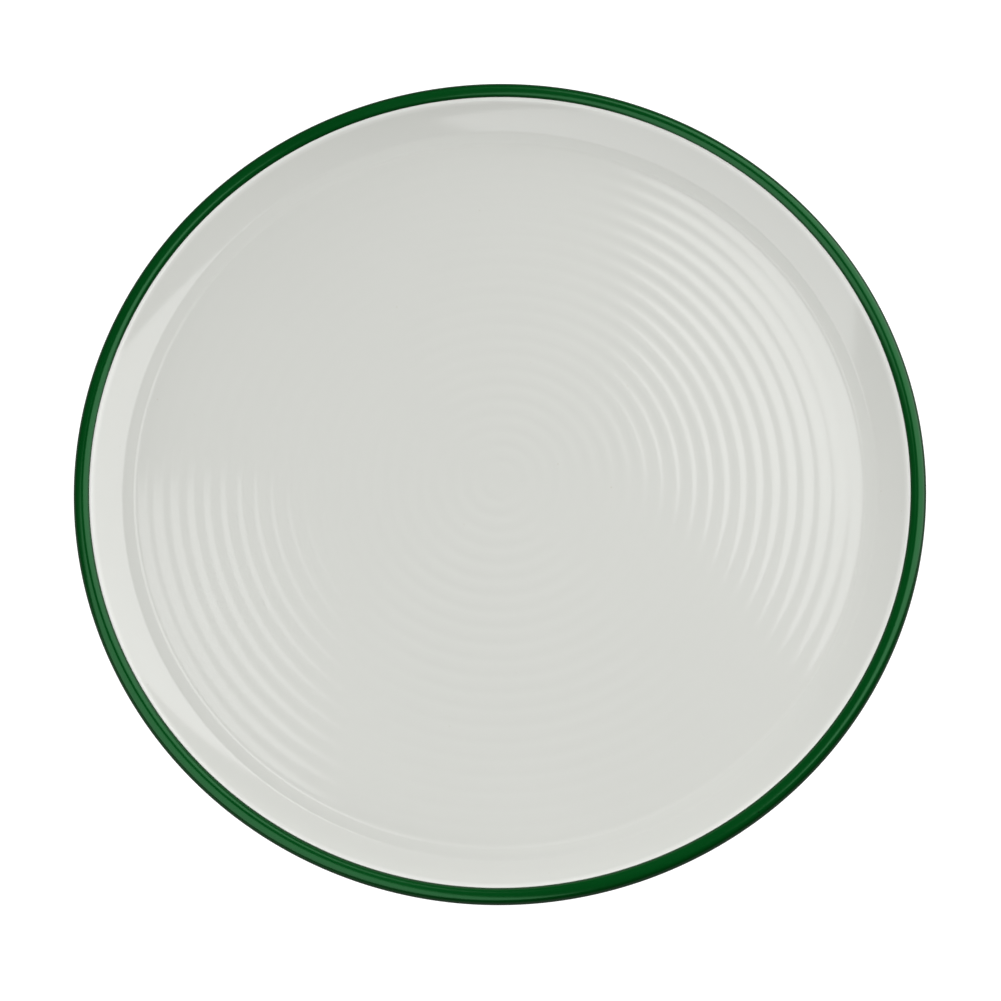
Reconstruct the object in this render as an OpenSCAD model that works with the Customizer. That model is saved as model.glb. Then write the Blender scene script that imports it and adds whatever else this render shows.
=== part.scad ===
// China dinner plate with throwing rings on its floor and a coloured rim.
//
// The plate is a fired porcelain body inside a thin coat of glaze. Every piece is turned about +Z.
// The table is the plane Z = 0, under the foot ring. A slope or tilt is measured from the level.

/* [Plate] */
// Diameter across the lip, glaze included
plate_d = 270; // [262:1:280]
// Thickness of the floor at its centre, glaze included
floor_t = 5; // [4.6:0.1:5.4]
// Slope of the floor at its edge, in degrees: it is a very shallow bowl
floor_tilt = 0.6; // [0.3:0.1:1.2]

/* [Throwing rings] */
// Distance from one ring to the next
ring_pitch = 5.21; // [5.1:0.01:5.3]
// Number of rings between the centre and the wall
ring_count = 22; // [20:1:22]
// Height of a ring from trough to crest, in the middle of the plate
ring_h = 0.13; // [0.05:0.01:0.3]
// The same beside the wall, where the rings are lower
outer_ring_h = 0.05; // [0.04:0.01:0.2]

/* [Ledge between the rings and the wall] */
// Slope of the step that rises from the last ring
step_tilt = 22; // [10:1:24]
// Radius of the hollow at the foot of the step and of the round at its top
step_r = 2.8; // [2:0.1:3.2]
// Width of the level part of the ledge
ledge_w = 2.7; // [2:0.1:3]
// Slope of the ledge
ledge_tilt = 6; // [3:0.5:8]

/* [Wall and lip] */
// Radius of the corner between the ledge and the wall
corner_r = 2; // [1.5:0.1:3]
// Slope at the foot of the wall
wall_foot_tilt = 34; // [32:1:38]
// Slope at the top of the wall
wall_top_tilt = 50; // [48:1:54]
// Radius of the rolled lip, glaze included
lip_r = 2.6; // [2.4:0.05:2.8]
// Radius of the bend between the wall and the underside
heel_r = 9; // [7:0.5:11]
// Slope of the underside outside the foot ring
under_tilt = 2; // [1:0.5:3]

/* [Foot ring] */
// Radius of the middle of the face that rests on the table
foot_r = 87; // [80:1:92]
// Width of the face that rests on the table
foot_w = 3; // [2.4:0.2:4]
// Depth of the hollow inside the foot ring, at its centre
foot_h = 3; // [2.8:0.1:3.2]
// Lean of the foot ring's two sides from the vertical, in degrees
foot_draft = 18; // [8:1:24]
// How much higher the hollow is beside the foot ring than at its centre
foot_rise = 0.4; // [0.2:0.1:0.6]
// Height of the bare edge of the foot ring, below the glaze
bare_h = 1.1; // [1:0.1:1.2]

/* [Glaze] */
// Thickness of the glaze and of the coloured band
glaze_t = 0.3; // [0.2:0.05:0.4]
// How far the coloured band runs down the wall below the rolled lip, in degrees of the wall's arc
band_drop = 1; // [0.5:0.1:2]

/* [Hidden] */
$fn = 180;

// Points along one ring, and along each kind of curve
ring_steps = 8;
curve_steps = 6;
wall_steps = 8;
lip_steps = 18;
well_steps = 10;

// The floor, level at its centre, ends in the trough outside the last ring
floor_z = foot_h + floor_t;
trough_r = (ring_count + 0.25) * ring_pitch;
trough = [trough_r, floor_z + dish(trough_r) + ring(trough_r)];

// From the trough outwards the face is a chain of arcs and a level, each on a tangent to the next
step_foot = trough + bend(step_r, floor_tilt, step_tilt);
ledge_start = step_foot - bend(step_r, step_tilt, ledge_tilt);
ledge_end = ledge_start + ledge_w * [cos(ledge_tilt), sin(ledge_tilt)];
corner_end = ledge_end + bend(corner_r, ledge_tilt, wall_foot_tilt);

// The wall's arc is as large as it takes to reach the lip, a half round that both its faces run into
lip_centre_r = plate_d / 2 - lip_r;
wall_run = lip_centre_r - lip_r * sin(wall_top_tilt) - corner_end[0];
wall_r = wall_run / (sin(wall_top_tilt) - sin(wall_foot_tilt));
wall_top = corner_end + bend(wall_r, wall_foot_tilt, wall_top_tilt);
wall_centre = wall_top + wall_r * up(wall_top_tilt);
lip_centre = wall_top - lip_r * up(wall_top_tilt);
band_tilt = wall_top_tilt - band_drop;

// Corners of the underside, before they are rounded
back_r = wall_r + 2 * lip_r - glaze_t;
back_foot = wall_centre - back_r * up(wall_foot_tilt);
heel_end = back_foot - bend(heel_r, under_tilt, wall_foot_tilt);
foot_outer_r = foot_r + foot_w / 2;
foot_inner_r = foot_r - foot_w / 2;
outer_root_z = heel_end[1] - (heel_end[0] - foot_outer_r) * tan(under_tilt);
inner_root_z = foot_h + foot_rise;
outer_root = [foot_outer_r + outer_root_z * tan(foot_draft), outer_root_z];
inner_root = [foot_inner_r - inner_root_z * tan(foot_draft), inner_root_z];
outer_bare = [foot_outer_r + bare_h * tan(foot_draft), bare_h];
inner_bare = [foot_inner_r - bare_h * tan(foot_draft), bare_h];
root_fillet = 1.8;
edge_round = 0.7;

// Height of the bowl of the floor above its centre, at radius r
function dish(r) = tan(floor_tilt) * r * r / (2 * trough_r);

// Height of the rings at radius r, which start from nothing on the axis
function ring(r) =
    let (height = ring_h + (outer_ring_h - ring_h) * pow(r / trough_r, 2))
    -height / 2 * min(1, r / ring_pitch) * sin(360 * r / ring_pitch);

// Way straight up from a surface of slope a
function up(a) = [-sin(a), cos(a)];

// Run and rise of an arc of radius r whose slope goes from a0 to a1
function bend(r, a0, a1) = r * [sin(a1) - sin(a0), cos(a0) - cos(a1)];

// Points of an arc about c, from angle a0 to a1
function arc(c, r, a0, a1, steps) =
    [for (i = [0:steps]) let (a = a0 + (a1 - a0) * i / steps) c + r * [cos(a), sin(a)]];

// Points of an arc that goes on from p as its slope changes from a0 to a1: hollow if the slope grows
function swept(p, r, a0, a1) =
    let (side = a1 > a0 ? 1 : -1)
    arc(p + side * r * up(a0), r, a0 - side * 90, a1 - side * 90, curve_steps);

// Points of the round of radius r that takes off corner p, between its neighbours a and b
function rounded(a, p, b, r) =
    let (
        u = (a - p) / norm(a - p),
        v = (b - p) / norm(b - p),
        half = acos(u * v) / 2,
        c = p + (u + v) / norm(u + v) * r / sin(half),
        start = p + u * r / tan(half) - c,
        a0 = atan2(start[1], start[0]),
        sweep = sign(cross(v, u)) * (180 - 2 * half)
    )
    arc(c, r, a0, a0 + sweep, curve_steps);

// A path moved sideways by t, to its left. A point on the axis stays on the axis
function moved(path, t) =
    [for (i = [0:len(path) - 1])
        let (
            ahead = path[min(i + 1, len(path) - 1)],
            behind = path[max(i - 1, 0)],
            way = (ahead - behind) / norm(ahead - behind)
        )
        path[i][0] == 0 ? path[i] + [0, t * sign(way[0])] : path[i] + t * [-way[1], way[0]]];

function reversed(path) = [for (i = [len(path) - 1:-1:0]) path[i]];
function after_first(path) = [for (i = [1:len(path) - 1]) path[i]];
function before_last(path) = [for (i = [0:len(path) - 2]) path[i]];

// Floor and ledge with their glaze on, from the centre to the corner at the foot of the wall
floor_steps = floor(trough_r / ring_pitch * ring_steps - 0.5);
floor_skin = concat(
    [for (i = [0:floor_steps]) let (r = ring_pitch * i / ring_steps) [r, floor_z + dish(r) + ring(r)]],
    swept(trough, step_r, floor_tilt, step_tilt),
    after_first(swept(step_foot, step_r, step_tilt, ledge_tilt)),
    before_last(swept(ledge_end, corner_r, ledge_tilt, wall_foot_tilt)));

// A stretch of the wall, at distance r from the centre of its arc
function wall(r, a0, a1, steps) = arc(wall_centre, r, a0 - 90, a1 - 90, steps);
function lip(r) = arc(lip_centre, r, wall_top_tilt + 90, wall_top_tilt - 90, lip_steps);

// Outline of the face glaze: its skin and the clay under it
face_skin = concat(floor_skin, wall(wall_r, wall_foot_tilt, band_tilt, wall_steps));
face_clay = concat(
    moved(floor_skin, -glaze_t),
    wall(wall_r + glaze_t, wall_foot_tilt, band_tilt, wall_steps));

// Outline of the coloured band: down the wall a little way on both sides of the lip
function band(t) = concat(
    before_last(wall(wall_r + t, band_tilt, wall_top_tilt, 2)),
    lip(lip_r - t),
    after_first(wall(wall_r + 2 * lip_r - t, wall_top_tilt, band_tilt, 2)));

// Underside of the clay, from the band to the centre, in the three stretches that the glaze makes
back_clay = concat(
    before_last(wall(back_r, band_tilt, wall_foot_tilt, wall_steps)),
    arc(back_foot + heel_r * up(wall_foot_tilt), heel_r, wall_foot_tilt - 90, under_tilt - 90, curve_steps),
    rounded(heel_end, outer_root, outer_bare, root_fillet),
    [outer_bare]);
foot_clay = concat(
    rounded(outer_bare, [foot_outer_r, 0], [foot_r, 0], edge_round),
    rounded([foot_r, 0], [foot_inner_r, 0], inner_bare, edge_round));
well_clay = concat(
    [inner_bare],
    rounded(inner_bare, inner_root, [0, foot_h], root_fillet),
    [for (i = [well_steps - 1:-1:0])
        let (share = i / well_steps * 0.96)
        [inner_root[0] * share, foot_h + foot_rise * share * share]]);

module turned(outline) rotate_extrude() polygon(outline);

// A layer of glaze over a stretch of the clay
module glazed(clay) turned(concat(clay, reversed(moved(clay, glaze_t))));

// Fired white body: floor, wall, lip and foot ring in one piece, bare under the foot
module porcelain_body()
    color([0.86, 0.84, 0.79])
    turned(concat(face_clay, after_first(before_last(band(glaze_t))), back_clay, foot_clay, well_clay));

// White glaze on the eating side, with the rings showing through it
module face_glaze()
    color([0.9, 0.91, 0.88])
    turned(concat(face_skin, reversed(face_clay)));

// Green band that is fused round the lip, between the two white glazes
module rim_band()
    color([0.0, 0.2, 0.06])
    turned(concat(band(0), reversed(band(glaze_t))));

// White glaze on the outside, from the band down to the bare edge of the foot ring
module back_glaze()
    color([0.9, 0.91, 0.88])
    glazed(back_clay);

// White glaze in the hollow inside the foot ring
module foot_well_glaze()
    color([0.9, 0.91, 0.88])
    glazed(well_clay);

porcelain_body();
face_glaze();
rim_band();
back_glaze();
foot_well_glaze();
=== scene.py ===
"""Visual model of a china dinner plate: ringed white face, green enamel rim, glazed back and foot.

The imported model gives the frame. Each glaze coat and the fired body is turned again here on a fine
lathe, in the same places, and gets its own procedural finish. Lengths are in metres.
"""

import logging
import math
from dataclasses import dataclass, field
from enum import Enum

import bmesh
import bpy
from mathutils import Matrix, Vector


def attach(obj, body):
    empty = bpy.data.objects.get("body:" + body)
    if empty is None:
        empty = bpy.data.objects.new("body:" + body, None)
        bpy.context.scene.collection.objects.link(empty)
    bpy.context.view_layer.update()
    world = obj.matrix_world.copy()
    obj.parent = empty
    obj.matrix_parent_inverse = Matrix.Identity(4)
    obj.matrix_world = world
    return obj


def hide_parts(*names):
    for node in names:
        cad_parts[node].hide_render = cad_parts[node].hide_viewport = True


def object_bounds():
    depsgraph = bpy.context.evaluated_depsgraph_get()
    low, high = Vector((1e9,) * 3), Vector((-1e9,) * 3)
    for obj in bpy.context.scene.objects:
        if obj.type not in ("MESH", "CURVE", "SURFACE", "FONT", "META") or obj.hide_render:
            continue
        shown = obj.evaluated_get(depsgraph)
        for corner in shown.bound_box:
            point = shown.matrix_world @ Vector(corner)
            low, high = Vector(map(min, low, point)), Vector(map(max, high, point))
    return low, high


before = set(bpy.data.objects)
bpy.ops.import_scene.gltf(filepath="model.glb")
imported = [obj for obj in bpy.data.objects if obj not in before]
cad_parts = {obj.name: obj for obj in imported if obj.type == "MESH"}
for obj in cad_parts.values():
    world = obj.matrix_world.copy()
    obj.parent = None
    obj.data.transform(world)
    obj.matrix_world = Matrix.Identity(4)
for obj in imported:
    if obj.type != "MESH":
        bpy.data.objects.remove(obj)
CAD_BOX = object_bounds()

MM = 0.001
WELD = 0.002 * MM
LOG = logging.getLogger("dinner_plate")

Path2D = list[Vector]


class Coat(Enum):
    """The layers of the plate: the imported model's node that each one stands for."""

    BODY = "porcelain_body"
    FACE = "face_glaze"
    RIM = "rim_band"
    BACK = "back_glaze"
    WELL = "foot_well_glaze"


# ---------------------------------------------------------------- outlines


def up(slope: float) -> Vector:
    """Way straight up from a surface of a slope, in degrees."""
    return Vector((-math.sin(math.radians(slope)), math.cos(math.radians(slope))))


def bend(radius: float, start: float, end: float) -> Vector:
    """Run and rise of an arc as its slope changes.

    Args:
        radius: Radius of the arc.
        start: Slope at its start, in degrees.
        end: Slope at its end, in degrees.

    Returns:
        The way from the start of the arc to its end, if the arc is hollow.
    """
    return radius * (up(start) - up(end))


def arc(centre: Vector, radius: float, start: float, end: float, steps: int) -> Path2D:
    """Points of an arc, both ends included.

    Args:
        centre: Centre of the arc.
        radius: Radius of the arc.
        start: Angle of the first point, in degrees.
        end: Angle of the last point, in degrees.
        steps: Number of chords.

    Returns:
        The points in order from start to end.
    """
    angles = [math.radians(start + (end - start) * i / steps) for i in range(steps + 1)]
    return [centre + radius * Vector((math.cos(a), math.sin(a))) for a in angles]


def swept(place: Vector, radius: float, start: float, end: float, steps: int) -> Path2D:
    """An arc that goes on from a point, hollow if its slope grows and round if it falls.

    Args:
        place: First point of the arc.
        radius: Radius of the arc.
        start: Slope at the first point, in degrees.
        end: Slope at the last point, in degrees.
        steps: Number of chords.

    Returns:
        The points in order from place.
    """
    side = math.copysign(1.0, end - start)
    return arc(place + side * radius * up(start), radius, start - side * 90, end - side * 90, steps)


def rounded(before: Vector, corner: Vector, after: Vector, radius: float, steps: int) -> Path2D:
    """The round that takes off a corner of an outline.

    Args:
        before: Point that the outline comes from.
        corner: The corner itself.
        after: Point that the outline goes on to.
        radius: Radius of the round.
        steps: Number of chords.

    Returns:
        The points of the round, from the side of before to the side of after.
    """
    u = (before - corner).normalized()
    v = (after - corner).normalized()
    half = u.angle(v) / 2
    centre = corner + (u + v).normalized() * radius / math.sin(half)
    first = corner + u * radius / math.tan(half) - centre
    start = math.degrees(math.atan2(first.y, first.x))
    turn = math.copysign(180 - 2 * math.degrees(half), v.x * u.y - v.y * u.x)
    return arc(centre, radius, start, start + turn, steps)


def moved(path: Path2D, distance: float) -> Path2D:
    """A path moved sideways to its left, with its points on the axis kept there.

    Args:
        path: The outline to move.
        distance: How far it moves; a negative distance moves it to the right.

    Returns:
        The moved points, one for each point of the path.
    """
    out = []
    for i, point in enumerate(path):
        way = (path[min(i + 1, len(path) - 1)] - path[max(i - 1, 0)]).normalized()
        if point.x == 0:
            out.append(Vector((0.0, point.y + math.copysign(distance, distance * way.x))))
        else:
            out.append(point + distance * Vector((-way.y, way.x)))
    return out


@dataclass(frozen=True)
class Section:
    """Half section of the plate, as the CAD part draws it. Slopes are in degrees.

    The dome inside the foot ring is drawn out to dome_share of the radius of the root beside it.
    """

    floor_t: float = 5.0 * MM
    floor_tilt: float = 0.6
    ring_pitch: float = 5.21 * MM
    ring_count: int = 22
    ring_h: float = 0.13 * MM
    outer_ring_h: float = 0.05 * MM
    step_tilt: float = 22.0
    step_r: float = 2.8 * MM
    ledge_w: float = 2.7 * MM
    ledge_tilt: float = 6.0
    corner_r: float = 2.0 * MM
    wall_foot_tilt: float = 34.0
    wall_top_tilt: float = 50.0
    lip_r: float = 2.6 * MM
    heel_r: float = 9.0 * MM
    under_tilt: float = 2.0
    foot_r: float = 87.0 * MM
    foot_w: float = 3.0 * MM
    foot_h: float = 3.0 * MM
    foot_draft: float = 18.0
    foot_rise: float = 0.4 * MM
    bare_h: float = 1.1 * MM
    glaze_t: float = 0.3 * MM
    band_drop: float = 1.0
    root_fillet: float = 1.8 * MM
    edge_round: float = 0.7 * MM
    dome_share: float = 0.96

    @property
    def trough_r(self) -> float:
        """Radius of the trough outside the last ring, where the floor ends."""
        return (self.ring_count + 0.25) * self.ring_pitch

    @property
    def trough(self) -> Vector:
        """Bottom of the trough outside the last ring."""
        return Vector((self.trough_r, self.floor_height(self.trough_r)))

    @property
    def step_foot(self) -> Vector:
        """Steepest place of the step."""
        return self.trough + bend(self.step_r, self.floor_tilt, self.step_tilt)

    @property
    def ledge_end(self) -> Vector:
        """Outer edge of the ledge, where the corner under the wall starts."""
        start = self.step_foot - bend(self.step_r, self.step_tilt, self.ledge_tilt)
        return start - self.ledge_w * up(self.ledge_tilt + 90)

    @property
    def corner_end(self) -> Vector:
        """Foot of the wall's own arc."""
        return self.ledge_end + bend(self.corner_r, self.ledge_tilt, self.wall_foot_tilt)

    @property
    def wall_r(self) -> float:
        """Radius of the wall's arc, which ends on a tangent to the lip."""
        top, foot = up(self.wall_top_tilt), up(self.wall_foot_tilt)
        return (CAD_BOX[1][0] - self.lip_r * (1 - top.x) - self.corner_end.x) / (foot.x - top.x)

    @property
    def wall_centre(self) -> Vector:
        """Centre of the wall's arc."""
        return self.corner_end + self.wall_r * up(self.wall_foot_tilt)

    @property
    def lip_centre(self) -> Vector:
        """Centre of the half round of the lip."""
        return self.wall_centre - (self.wall_r + self.lip_r) * up(self.wall_top_tilt)

    @property
    def outer_bare(self) -> Vector:
        """Outer edge of the glaze on the foot ring."""
        return self.foot_side(1, self.bare_h)

    @property
    def inner_bare(self) -> Vector:
        """Inner edge of the glaze on the foot ring."""
        return self.foot_side(-1, self.bare_h)

    def floor_height(self, r: float) -> float:
        """Height of the glazed floor: a very shallow bowl with rings that get lower outwards.

        Args:
            r: Distance from the axis.

        Returns:
            The height above the table.
        """
        share = r / self.trough_r
        dish = math.tan(math.radians(self.floor_tilt)) * r * share / 2
        height = self.ring_h + (self.outer_ring_h - self.ring_h) * share ** 2
        turns = r / self.ring_pitch
        ring = -height / 2 * min(1.0, turns) * math.sin(2 * math.pi * turns)
        return self.foot_h + self.floor_t + dish + ring

    def face(self, ring_steps: int, curve_steps: int) -> Path2D:
        """Glazed face from the centre to the edge of the band.

        Args:
            ring_steps: Points on each ring.
            curve_steps: Chords of each curve between the rings and the wall.

        Returns:
            The points from the axis outwards.
        """
        count = math.floor(self.trough_r / self.ring_pitch * ring_steps - 0.5)
        radii = [self.ring_pitch * i / ring_steps for i in range(count + 1)]
        floor = [Vector((r, self.floor_height(r))) for r in radii]
        foot = swept(self.trough, self.step_r, self.floor_tilt, self.step_tilt, curve_steps)
        crest = swept(self.step_foot, self.step_r, self.step_tilt, self.ledge_tilt, curve_steps)
        corner = swept(self.ledge_end, self.corner_r, self.ledge_tilt, self.wall_foot_tilt, curve_steps)
        return floor + foot + crest[1:] + corner[:-1] + self.wall(0.0, curve_steps)

    def wall(self, inset: float, steps: int) -> Path2D:
        """Arc of the wall from its foot to the band, at a depth under the glazed face."""
        end = self.wall_top_tilt - self.band_drop
        return arc(self.wall_centre, self.wall_r + inset, self.wall_foot_tilt - 90, end - 90, steps)

    def band(self, inset: float, steps: int) -> Path2D:
        """Outline of the band from its inner edge over the lip to its outer edge.

        Args:
            inset: Depth under the surface of the band.
            steps: Number of chords round the lip.

        Returns:
            The points in order.
        """
        low, top = self.wall_top_tilt - self.band_drop - 90, self.wall_top_tilt - 90
        inner = arc(self.wall_centre, self.wall_r + inset, low, top, 2)
        outer = arc(self.wall_centre, self.wall_r + 2 * self.lip_r - inset, top, low, 2)
        lip = arc(self.lip_centre, self.lip_r - inset, top + 180, top, steps)
        return inner[:-1] + lip + outer[1:]

    def foot_side(self, side: int, height: float) -> Vector:
        """Point at a height on the outer (side 1) or inner (side -1) flank of the foot ring."""
        lean = height * math.tan(math.radians(self.foot_draft))
        return Vector((self.foot_r + side * (self.foot_w / 2 + lean), height))

    def back(self, steps: int) -> Path2D:
        """Clay under the back glaze, from the band to the foot ring."""
        radius = self.wall_r + 2 * self.lip_r - self.glaze_t
        low, top = self.wall_foot_tilt - 90, self.wall_top_tilt - self.band_drop - 90
        wall = arc(self.wall_centre, radius, top, low, steps)
        heel_centre = wall[-1] + self.heel_r * up(self.wall_foot_tilt)
        heel = arc(heel_centre, self.heel_r, low, self.under_tilt - 90, steps)
        run = heel[-1].x - self.foot_r - self.foot_w / 2
        root = self.foot_side(1, heel[-1].y - run * math.tan(math.radians(self.under_tilt)))
        fillet = rounded(heel[-1], root, self.outer_bare, self.root_fillet, steps)
        return wall[:-1] + heel + fillet + [self.outer_bare]

    def foot(self, steps: int) -> Path2D:
        """Bare clay under the foot ring, from its outer side to its inner side."""
        middle = Vector((self.foot_r, 0.0))
        outer = rounded(self.outer_bare, self.foot_side(1, 0.0), middle, self.edge_round, steps)
        return outer + rounded(middle, self.foot_side(-1, 0.0), self.inner_bare, self.edge_round, steps)

    def well(self, steps: int) -> Path2D:
        """Clay inside the foot ring, from the bare edge to the axis."""
        root = self.foot_side(-1, self.foot_h + self.foot_rise)
        fillet = rounded(self.inner_bare, root, Vector((0.0, self.foot_h)), self.root_fillet, steps)
        shares = [self.dome_share * i / steps for i in range(steps - 1, -1, -1)]
        dome = [Vector((root.x * s, self.foot_h + self.foot_rise * s * s)) for s in shares]
        return [self.inner_bare] + fillet + dome


# ---------------------------------------------------------------- finishes


class NodeSheet:
    """A short way to place and link nodes in one node tree."""

    def __init__(self, tree: bpy.types.NodeTree) -> None:
        """Keeps the tree that the nodes go into."""
        self.tree = tree

    def add(self, kind: str, **values: object) -> bpy.types.Node:
        """Adds a node.

        Args:
            kind: Blender's name of the node's type.
            values: Properties of the node, or defaults of its inputs, whose
                names are given with underscores for spaces.

        Returns:
            The new node.
        """
        node = self.tree.nodes.new(kind)
        for key, value in values.items():
            if hasattr(node, key):
                setattr(node, key, value)
            else:
                node.inputs[key.replace("_", " ")].default_value = value
        return node

    def link(self, source: bpy.types.NodeSocket, target: bpy.types.NodeSocket) -> None:
        """Links an output to an input."""
        self.tree.links.new(source, target)

    def math(self, operation: str, first: object, second: object = 0.0) -> bpy.types.NodeSocket:
        """Adds a Math node.

        Args:
            operation: Blender's name of the operation.
            first: A socket or a number.
            second: A socket or a number.

        Returns:
            The node's output.
        """
        node = self.add("ShaderNodeMath", operation=operation)
        for i, value in enumerate((first, second)):
            if isinstance(value, bpy.types.NodeSocket):
                self.link(value, node.inputs[i])
            else:
                node.inputs[i].default_value = value
        return node.outputs[0]

    def spread(self, value: bpy.types.NodeSocket, low: tuple[float, float],
               high: tuple[float, float]) -> bpy.types.NodeSocket:
        """Adds a clamped Map Range node.

        Args:
            value: The value to map.
            low: An input value and what it becomes.
            high: Another input value and what it becomes.

        Returns:
            The mapped value.
        """
        node = self.add("ShaderNodeMapRange")
        self.link(value, node.inputs["Value"])
        node.inputs["From Min"].default_value, node.inputs["To Min"].default_value = low
        node.inputs["From Max"].default_value, node.inputs["To Max"].default_value = high
        return node.outputs["Result"]

    def tint(self, factor: bpy.types.NodeSocket, first: object, second: object) -> bpy.types.NodeSocket:
        """Adds a colour Mix node.

        Args:
            factor: 0 gives the first colour and 1 the second.
            first: A socket or a colour.
            second: A socket or a colour.

        Returns:
            The mixed colour.
        """
        node = self.add("ShaderNodeMix", data_type="RGBA")
        self.link(factor, node.inputs["Factor"])
        for name, value in (("A", first), ("B", second)):
            socket = next(s for s in node.inputs if s.name == name and s.type == "RGBA")
            if isinstance(value, bpy.types.NodeSocket):
                self.link(value, socket)
            else:
                socket.default_value = (*value, 1.0)
        return next(s for s in node.outputs if s.type == "RGBA")


# A pinhole's core and edge, as shares of a cell, and its depth as a share of the dimples' height
PINHOLE_CORE, PINHOLE_EDGE, PINHOLE_DEPTH = 0.05, 0.16, 0.6
# Patches where the glaze has pooled: how many along a metre, and the noise where they start and are full
POOL_SCALE, POOL_LOW, POOL_HIGH = 17.0, 0.35, 0.65


def glaze_skin_group() -> bpy.types.NodeTree:
    """Node group of a fired glaze: its soft dimples, pinholes and slow thickness changes.

    Returns:
        The group, with Height, Pinhole and Pooling outputs.
    """
    tree = bpy.data.node_groups.new("glaze_skin", "ShaderNodeTree")
    for name, default in (("Dimple Scale", 260.0), ("Pinhole Scale", 420.0), ("Pinhole Share", 0.06)):
        socket = tree.interface.new_socket(name=name, in_out="INPUT", socket_type="NodeSocketFloat")
        socket.default_value = default
    for name in ("Height", "Pinhole", "Pooling"):
        tree.interface.new_socket(name=name, in_out="OUTPUT", socket_type="NodeSocketFloat")
    sheet = NodeSheet(tree)
    given = sheet.add("NodeGroupInput")
    result = sheet.add("NodeGroupOutput")
    place = sheet.add("ShaderNodeTexCoord").outputs["Object"]

    dimples = sheet.add("ShaderNodeTexNoise", Detail=1.5, Roughness=0.4)
    sheet.link(place, dimples.inputs["Vector"])
    sheet.link(given.outputs["Dimple Scale"], dimples.inputs["Scale"])

    holes = sheet.add("ShaderNodeTexVoronoi", feature="F1")
    sheet.link(place, holes.inputs["Vector"])
    sheet.link(given.outputs["Pinhole Scale"], holes.inputs["Scale"])
    core = sheet.spread(holes.outputs["Distance"], (PINHOLE_CORE, 1.0), (PINHOLE_EDGE, 0.0))
    pick = sheet.add("ShaderNodeSeparateColor")
    sheet.link(holes.outputs["Color"], pick.inputs[0])
    chosen = sheet.math("LESS_THAN", pick.outputs[0], given.outputs["Pinhole Share"])
    pinhole = sheet.math("MULTIPLY", core, chosen)

    pool = sheet.add("ShaderNodeTexNoise", Scale=POOL_SCALE, Detail=2.0, Roughness=0.5)
    sheet.link(place, pool.inputs["Vector"])

    dent = sheet.math("MULTIPLY", pinhole, -PINHOLE_DEPTH)
    sheet.link(sheet.math("ADD", dimples.outputs["Fac"], dent), result.inputs["Height"])
    sheet.link(pinhole, result.inputs["Pinhole"])
    pooling = sheet.spread(pool.outputs["Fac"], (POOL_LOW, 0.0), (POOL_HIGH, 1.0))
    sheet.link(pooling, result.inputs["Pooling"])
    return tree


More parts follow.
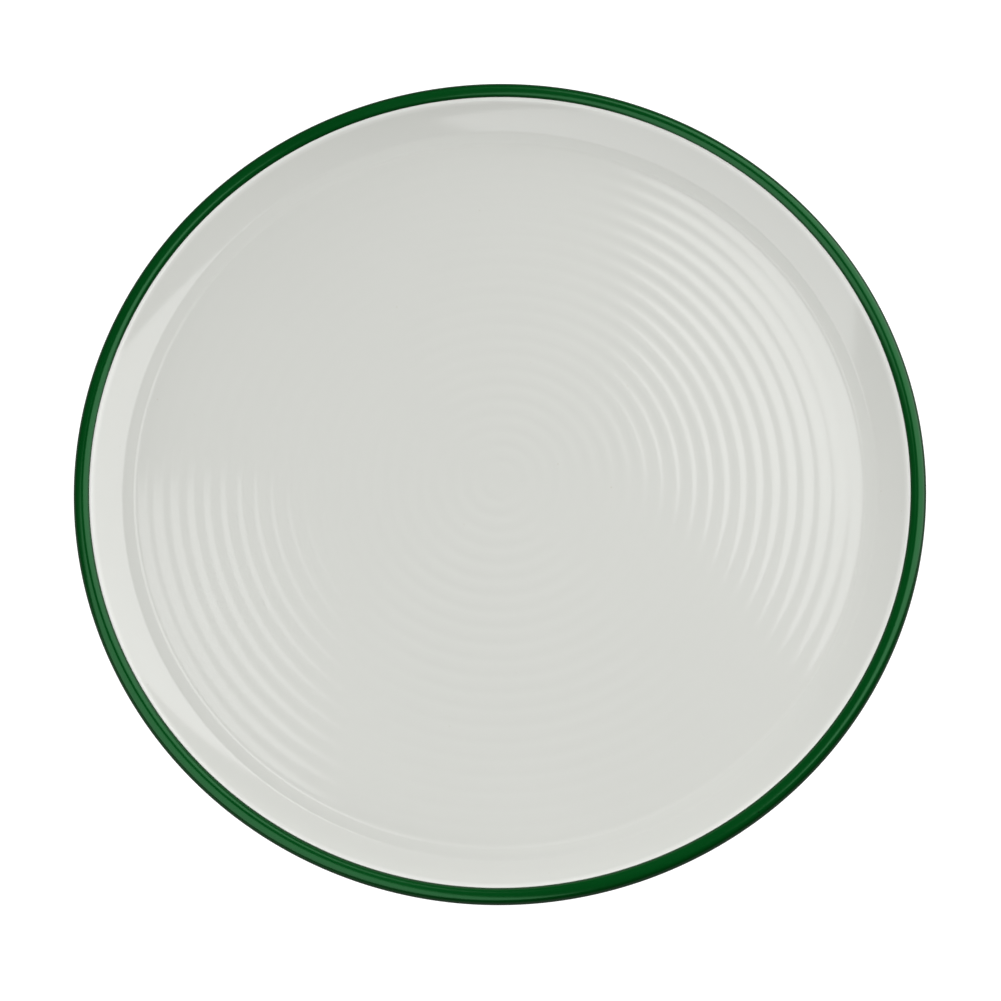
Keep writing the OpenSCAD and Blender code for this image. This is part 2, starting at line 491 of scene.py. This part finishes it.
@dataclass(frozen=True)
class Glaze:
    """A glossy fired coat over china.

    Attributes:
        name: Name of the material.
        slot: The record's slot that it belongs to.
        thin: Colour in the middle of the coat.
        pooled_and_shade_colour: Colour where the coat has pooled, in slow patches or in a bead at an edge.
            On the green enamel its darker edges are painted shade.
        speck: Colour of a pinhole.
        roughness: Roughness of the surface.
        dimple: Strength of the soft dimples.
        pinholes: Share of the cells that hold a pinhole.
        uneven: How much of the pooled colour its slow patches show.
        inner_shade_edge: Radii where the darker inner edge is full and where it ends; this edge is painted
            shade. They are below zero for a coat that has none.
        outer_bead_and_shade_edge: Radii where the outer edge colour starts and where it is full: a pooled
            bead on the white glaze, painted shade on the green enamel.
        specular_tint: Colour of the reflection seen head on.
        relief: Height of the dimples at full strength.
    """

    name: str
    slot: str
    thin: tuple[float, float, float]
    pooled_and_shade_colour: tuple[float, float, float]
    speck: tuple[float, float, float]
    roughness: float
    dimple: float
    pinholes: float
    uneven: float
    inner_shade_edge: tuple[float, float]
    outer_bead_and_shade_edge: tuple[float, float]
    specular_tint: tuple[float, float, float] = (1.0, 1.0, 1.0)
    relief: float = 0.02 * MM

    def material(self, skin: bpy.types.NodeTree) -> bpy.types.Material:
        """Builds the material.

        Args:
            skin: The glaze_skin node group.

        Returns:
            The new material.
        """
        made = bpy.data.materials.new(self.name)
        made.use_nodes = True
        sheet = NodeSheet(made.node_tree)
        shader = made.node_tree.nodes["Principled BSDF"]
        shader.inputs["IOR"].default_value = 1.5
        shader.inputs["Specular Tint"].default_value = (*self.specular_tint, 1.0)

        coat = sheet.add("ShaderNodeGroup", node_tree=skin)
        coat.inputs["Pinhole Share"].default_value = self.pinholes
        # On the green enamel the edge colour mixed in here is painted shade; the slow patches are real
        # pooling of the glaze.
        body = sheet.tint(self.pool_and_shade_mask(sheet, coat), self.thin, self.pooled_and_shade_colour)
        sheet.link(sheet.tint(coat.outputs["Pinhole"], body, self.speck), shader.inputs["Base Color"])

        dull, shiny = self.roughness * 1.15, self.roughness * 0.85
        rough = sheet.spread(coat.outputs["Pooling"], (0.0, dull), (1.0, shiny))
        sheet.link(rough, shader.inputs["Roughness"])

        bump = sheet.add("ShaderNodeBump", Strength=self.dimple, Distance=self.relief)
        sheet.link(coat.outputs["Height"], bump.inputs["Height"])
        sheet.link(bump.outputs["Normal"], shader.inputs["Normal"])
        return made

    def pool_and_shade_mask(self, sheet: NodeSheet, coat: bpy.types.Node) -> bpy.types.NodeSocket:
        """How much of the edge and patch colour shows, from place to place. On the green enamel both edges
        are painted shade.

        Args:
            sheet: Node sheet of the material.
            coat: Node of the glaze_skin group.

        Returns:
            0 in the middle of the coat and 1 on its edges.
        """
        place = sheet.add("ShaderNodeSeparateXYZ")
        sheet.link(sheet.add("ShaderNodeTexCoord").outputs["Object"], place.inputs[0])
        squares = [sheet.math("POWER", place.outputs[axis], 2.0) for axis in ("X", "Y")]
        radius = sheet.math("SQRT", sheet.math("ADD", *squares))
        # Inner edge: painted shade on the green enamel; the white glaze has none.
        inner = sheet.spread(radius, (self.inner_shade_edge[0], 1.0), (self.inner_shade_edge[1], 0.0))
        # Outer edge: a pooled bead on the white glaze, painted shade on the green enamel's outer side.
        outer = sheet.spread(radius, (self.outer_bead_and_shade_edge[0], 0.0), (self.outer_bead_and_shade_edge[1], 1.0))
        patches = sheet.math("MULTIPLY", coat.outputs["Pooling"], self.uneven)
        return sheet.math("MAXIMUM", sheet.math("MAXIMUM", inner, outer), patches)


@dataclass(frozen=True)
class BareClay:
    """Unglazed fired porcelain, as under the foot ring.

    Attributes:
        name: Name of the material.
        slot: The record's slot that it belongs to.
        pale: Colour of clean clay.
        worn: Colour of the darkest grains and of the pinholes.
        pinholes: Share of the cells that hold a pinhole.
        grain_scale: Number of grains along a metre.
        relief: Height of the grains at full strength.
    """

    name: str = "bare_porcelain"
    slot: str = "bare_porcelain"
    pale: tuple[float, float, float] = (0.72, 0.69, 0.62)
    worn: tuple[float, float, float] = (0.46, 0.42, 0.36)
    pinholes: float = 0.2
    grain_scale: float = 2600.0
    relief: float = 0.03 * MM

    def material(self, skin: bpy.types.NodeTree) -> bpy.types.Material:
        """Builds the material.

        Args:
            skin: The glaze_skin node group, for its slow changes of colour.

        Returns:
            The new material.
        """
        made = bpy.data.materials.new(self.name)
        made.use_nodes = True
        sheet = NodeSheet(made.node_tree)
        shader = made.node_tree.nodes["Principled BSDF"]
        place = sheet.add("ShaderNodeTexCoord").outputs["Object"]
        grain = sheet.add("ShaderNodeTexNoise", Scale=self.grain_scale, Detail=3.0, Roughness=0.65)
        sheet.link(place, grain.inputs["Vector"])
        coat = sheet.add("ShaderNodeGroup", node_tree=skin)
        coat.inputs["Pinhole Share"].default_value = self.pinholes
        tone = sheet.tint(sheet.spread(grain.outputs["Fac"], (0.4, 0.0), (0.75, 0.5)), self.pale, self.worn)
        sheet.link(sheet.tint(coat.outputs["Pinhole"], tone, self.worn), shader.inputs["Base Color"])
        sheet.link(sheet.spread(grain.outputs["Fac"], (0.3, 0.75), (0.7, 0.95)), shader.inputs["Roughness"])
        bump = sheet.add("ShaderNodeBump", Strength=0.5, Distance=self.relief)
        sheet.link(grain.outputs["Fac"], bump.inputs["Height"])
        sheet.link(bump.outputs["Normal"], shader.inputs["Normal"])
        return made


# ---------------------------------------------------------------- lathe


@dataclass
class Lathe:
    """Turns half outlines about +Z into pieces."""

    turns: int = 320

    def turn(self, name: str, outline: Path2D, closed: bool) -> bpy.types.Object:
        """Turns an outline into a solid.

        Args:
            name: Name of the piece.
            outline: Points of the half section, as (radius, height).
            closed: True for a ring, whose outline closes on itself, and False
                for a disc, whose outline starts and ends on the axis.

        Returns:
            The new object, at the origin.
        """
        mesh = bpy.data.meshes.new(name)
        bm = bmesh.new()
        verts = [bm.verts.new((point.x, 0.0, point.y)) for point in outline]
        pairs = list(zip(verts, verts[1:]))
        if closed:
            pairs.append((verts[-1], verts[0]))
        edges = [bm.edges.new(pair) for pair in pairs]
        bmesh.ops.spin(bm, geom=verts + edges, cent=(0, 0, 0), axis=(0, 0, 1), dvec=(0, 0, 0),
                       angle=2 * math.pi, steps=self.turns, use_merge=True, use_duplicate=False)
        bmesh.ops.remove_doubles(bm, verts=bm.verts[:], dist=WELD)
        bmesh.ops.recalc_face_normals(bm, faces=bm.faces[:])
        for face in bm.faces:
            face.smooth = True
        bm.to_mesh(mesh)
        bm.free()
        piece = bpy.data.objects.new(name, mesh)
        bpy.context.scene.collection.objects.link(piece)
        return piece


@dataclass
class Plate:
    """The plate's five layers, each turned, dressed and tied to the frame.

    Attributes:
        section: The half section that they are cut from.
        lathe: The lathe that turns them.
        ring_steps: Points on each ring of the glazed face.
        hidden_ring_steps: The same on the clay under the glaze.
        face_steps: Chords of each curve of the glazed face.
        hidden_face_steps: The same on the clay under the glaze.
        lip_steps: Chords round the lip.
        hidden_lip_steps: The same on the clay under the band.
        back_steps: Chords of each curve of the underside.
        foot_steps: Chords of each round of the foot ring.
        well_steps: Chords of each curve inside the foot ring.
    """

    section: Section = field(default_factory=Section)
    lathe: Lathe = field(default_factory=Lathe)
    ring_steps: int = 8
    hidden_ring_steps: int = 3
    face_steps: int = 8
    hidden_face_steps: int = 4
    lip_steps: int = 36
    hidden_lip_steps: int = 18
    back_steps: int = 10
    foot_steps: int = 6
    well_steps: int = 12

    def outlines(self) -> dict[Coat, tuple[Path2D, bool]]:
        """The half outline of each layer, and whether it is a closed ring."""
        s = self.section
        face = s.face(self.ring_steps, self.face_steps)
        face_clay = moved(s.face(self.hidden_ring_steps, self.hidden_face_steps), -s.glaze_t)
        band_clay = s.band(s.glaze_t, self.hidden_lip_steps)
        back, foot, well = s.back(self.back_steps), s.foot(self.foot_steps), s.well(self.well_steps)
        clay = face_clay + band_clay[1:-1] + back + foot + well
        return {
            Coat.BODY: (clay, False),
            Coat.FACE: (face + face_clay[::-1], False),
            Coat.RIM: (s.band(0.0, self.lip_steps) + band_clay[::-1], True),
            Coat.BACK: (back + moved(back, s.glaze_t)[::-1], True),
            Coat.WELL: (well + moved(well, s.glaze_t)[::-1], False),
        }

    def build(self, finishes: dict[Coat, tuple[bpy.types.Material, str]]) -> None:
        """Turns and dresses every layer.

        Args:
            finishes: The material and the record's slot of each layer.
        """
        for coat, (outline, closed) in self.outlines().items():
            piece = self.lathe.turn(f"turned_{coat.value}", outline, closed)
            material, slot = finishes[coat]
            piece.data.materials.append(material)
            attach(piece, "root")
            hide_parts(coat.value)
            LOG.info("%s: %d faces", piece.name, len(piece.data.polygons))


# ---------------------------------------------------------------- studio


@dataclass(frozen=True)
class Softbox:
    """A flat rectangular studio light.

    Attributes:
        name: Name of the light.
        place: Centre of its front.
        facing: Compass direction that its front faces, in degrees from +X towards +Y.
        tilt: How far its front is turned down from the level, in degrees.
        width: Width of its front.
        height: Height of its front.
        radiance: Brightness of its front, where a white sheet in full light is 1.
    """

    name: str
    place: tuple[float, float, float]
    facing: float
    tilt: float
    width: float
    height: float
    radiance: float

    def build(self) -> None:
        """Makes the light, which the camera does not see."""
        data = bpy.data.lights.new(self.name, "AREA")
        data.shape = "RECTANGLE"
        data.size = self.width
        data.size_y = self.height
        data.energy = self.radiance * math.pi * self.width * self.height
        lamp = bpy.data.objects.new(self.name, data)
        lamp.visible_camera = False
        lamp.location = self.place
        lamp.rotation_euler = (math.radians(90 - self.tilt), 0.0, math.radians(self.facing - 90))
        bpy.context.scene.collection.objects.link(lamp)


@dataclass(frozen=True)
class Studio:
    """Pale floor, two soft lights, a little fill and the camera.

    Attributes:
        distance: Distance of the camera from the point on the axis that is level with its aim.
        elevation: Angle of the camera above that point, in degrees.
        roll: Turn of the camera about its line of sight, in degrees.
        lens: Focal length of the camera, in millimetres.
        sensor: Width of its sensor, in millimetres.
        near: Distance at which it starts to see.
        aim: Point that the camera looks at.
        fill: Strength of the light from all round.
        horizon: Strength of the glow at the horizon, which fades towards the zenith.
        horizon_lean: How much the glow grows towards +X and towards +Y.
        gloss_fill: Strength of the surroundings in mirror reflections.
        floor_half: Half the side of the floor.
        floor_grey: Colour of the floor as the plate sees it. The camera sees it white.
    """

    distance: float = 0.7155
    elevation: float = 74.211
    roll: float = 2.649
    lens: float = 80.25
    sensor: float = 36.0
    near: float = 0.01
    aim: tuple[float, float, float] = (0.00008, -0.00640, 0.008)
    fill: float = 0.05
    horizon: float = 1.3
    horizon_lean: tuple[float, float] = (-0.3, 0.8)
    gloss_fill: float = 0.03
    floor_half: float = 3.0
    floor_grey: tuple[float, float, float] = (0.25, 0.25, 0.25)

    def lights(self) -> None:
        """Makes both softboxes and the fill."""
        Softbox(name="softbox_right", place=(0.579, 0.321, 0.290), facing=194.3, tilt=57.4,
                width=0.842, height=1.077, radiance=2.35).build()
        Softbox(name="softbox_left", place=(-0.575, -0.475, 0.436), facing=18.9, tilt=76.5,
                width=0.98, height=1.189, radiance=1.95).build()
        world = bpy.data.worlds.new("studio")
        world.use_nodes = True
        backdrop = world.node_tree.nodes["Background"]
        backdrop.inputs["Color"].default_value = (1.0, 1.0, 1.0, 1.0)
        sheet = NodeSheet(world.node_tree)
        way = sheet.add("ShaderNodeSeparateXYZ")
        sheet.link(sheet.add("ShaderNodeTexCoord").outputs["Generated"], way.inputs[0])
        low = sheet.math("POWER", sheet.spread(way.outputs["Z"], (0.0, 1.0), (1.0, 0.0)), 2.0)
        lean_x, lean_y = self.horizon_lean
        east = sheet.math("MULTIPLY", way.outputs["X"], lean_x)
        north = sheet.math("MULTIPLY", way.outputs["Y"], lean_y)
        side = sheet.math("ADD", sheet.math("ADD", east, north), 1.0)
        glow = sheet.math("MULTIPLY", sheet.math("MULTIPLY", low, side), self.horizon)
        around = sheet.math("ADD", glow, self.fill)
        dim = sheet.add("ShaderNodeMix", data_type="FLOAT")
        sheet.link(sheet.add("ShaderNodeLightPath").outputs["Is Glossy Ray"], dim.inputs["Factor"])
        sheet.link(around, dim.inputs["A"])
        dim.inputs["B"].default_value = self.gloss_fill
        sheet.link(dim.outputs["Result"], backdrop.inputs["Strength"])
        bpy.context.scene.world = world
        bpy.context.scene.view_settings.view_transform = "Standard"

    def floor(self) -> None:
        """Makes the plain pale floor that the plate stands on."""
        bm = bmesh.new()
        bmesh.ops.create_grid(bm, x_segments=1, y_segments=1, size=self.floor_half)
        mesh = bpy.data.meshes.new("floor")
        bm.to_mesh(mesh)
        bm.free()
        ground = bpy.data.objects.new("floor", mesh)
        bpy.context.scene.collection.objects.link(ground)
        pale = bpy.data.materials.new("pale_floor")
        pale.use_nodes = True
        shader = pale.node_tree.nodes["Principled BSDF"]
        shader.inputs["Base Color"].default_value = (*self.floor_grey, 1.0)
        shader.inputs["Roughness"].default_value = 0.9
        shader.inputs["Specular IOR Level"].default_value = 0.0
        shader.inputs["Emission Color"].default_value = (1.0, 1.0, 1.0, 1.0)
        seen = pale.node_tree.nodes.new("ShaderNodeLightPath").outputs["Is Camera Ray"]
        pale.node_tree.links.new(seen, shader.inputs["Emission Strength"])
        mesh.materials.append(pale)

    def camera(self) -> None:
        """Makes the camera, in front of the plate and high above it."""
        rise = math.radians(self.elevation)
        place = Vector((0.0, -self.distance * math.cos(rise), self.aim[2] + self.distance * math.sin(rise)))
        data = bpy.data.cameras.new("camera")
        data.lens = self.lens
        data.sensor_width = self.sensor
        data.clip_start = self.near
        eye = bpy.data.objects.new("camera", data)
        turn = (Vector(self.aim) - place).to_track_quat("-Z", "Y").to_matrix().to_4x4()
        roll = Matrix.Rotation(math.radians(-self.roll), 4, "Z")
        eye.matrix_world = Matrix.Translation(place) @ turn @ roll
        bpy.context.scene.collection.objects.link(eye)
        bpy.context.scene.camera = eye


def main() -> None:
    """Builds the finishes, the plate and the studio."""
    skin = glaze_skin_group()
    white = Glaze(name="white_glaze", slot="white_glaze",
                  thin=(0.552, 0.559, 0.529), pooled_and_shade_colour=(0.665, 0.67, 0.645), speck=(0.50, 0.49, 0.44),
                  roughness=0.10, dimple=0.15, pinholes=0.006, uneven=0.04,
                  inner_shade_edge=(-2.0 * MM, -1.0 * MM), outer_bead_and_shade_edge=(128.2 * MM, 129.6 * MM))
    # The green's darker colour at its inner edge (129.8 to 130.8 mm) and over its outer side (from 133.0
    # mm) is painted shade.
    green = Glaze(name="green_enamel", slot="green_enamel",
                  thin=(0.0, 0.048, 0.006), pooled_and_shade_colour=(0.0, 0.014, 0.001), speck=(0.0, 0.012, 0.001),
                  roughness=0.2, dimple=0.25, pinholes=0.006, uneven=0.2,
                  inner_shade_edge=(129.8 * MM, 130.8 * MM), outer_bead_and_shade_edge=(133.0 * MM, 134.9 * MM),
                  specular_tint=(0.35, 1.0, 0.5))
    clay = BareClay()
    white_material = white.material(skin)
    green_material = green.material(skin)
    clay_material = clay.material(skin)
    Plate().build({
        Coat.BODY: (clay_material, clay.slot),
        Coat.FACE: (white_material, white.slot),
        Coat.RIM: (green_material, green.slot),
        Coat.BACK: (white_material, white.slot),
        Coat.WELL: (white_material, white.slot),
    })
    studio = Studio()
    studio.lights()
    studio.floor()
    studio.camera()


if __name__ == "__main__":
    logging.basicConfig(level=logging.INFO)
    main()
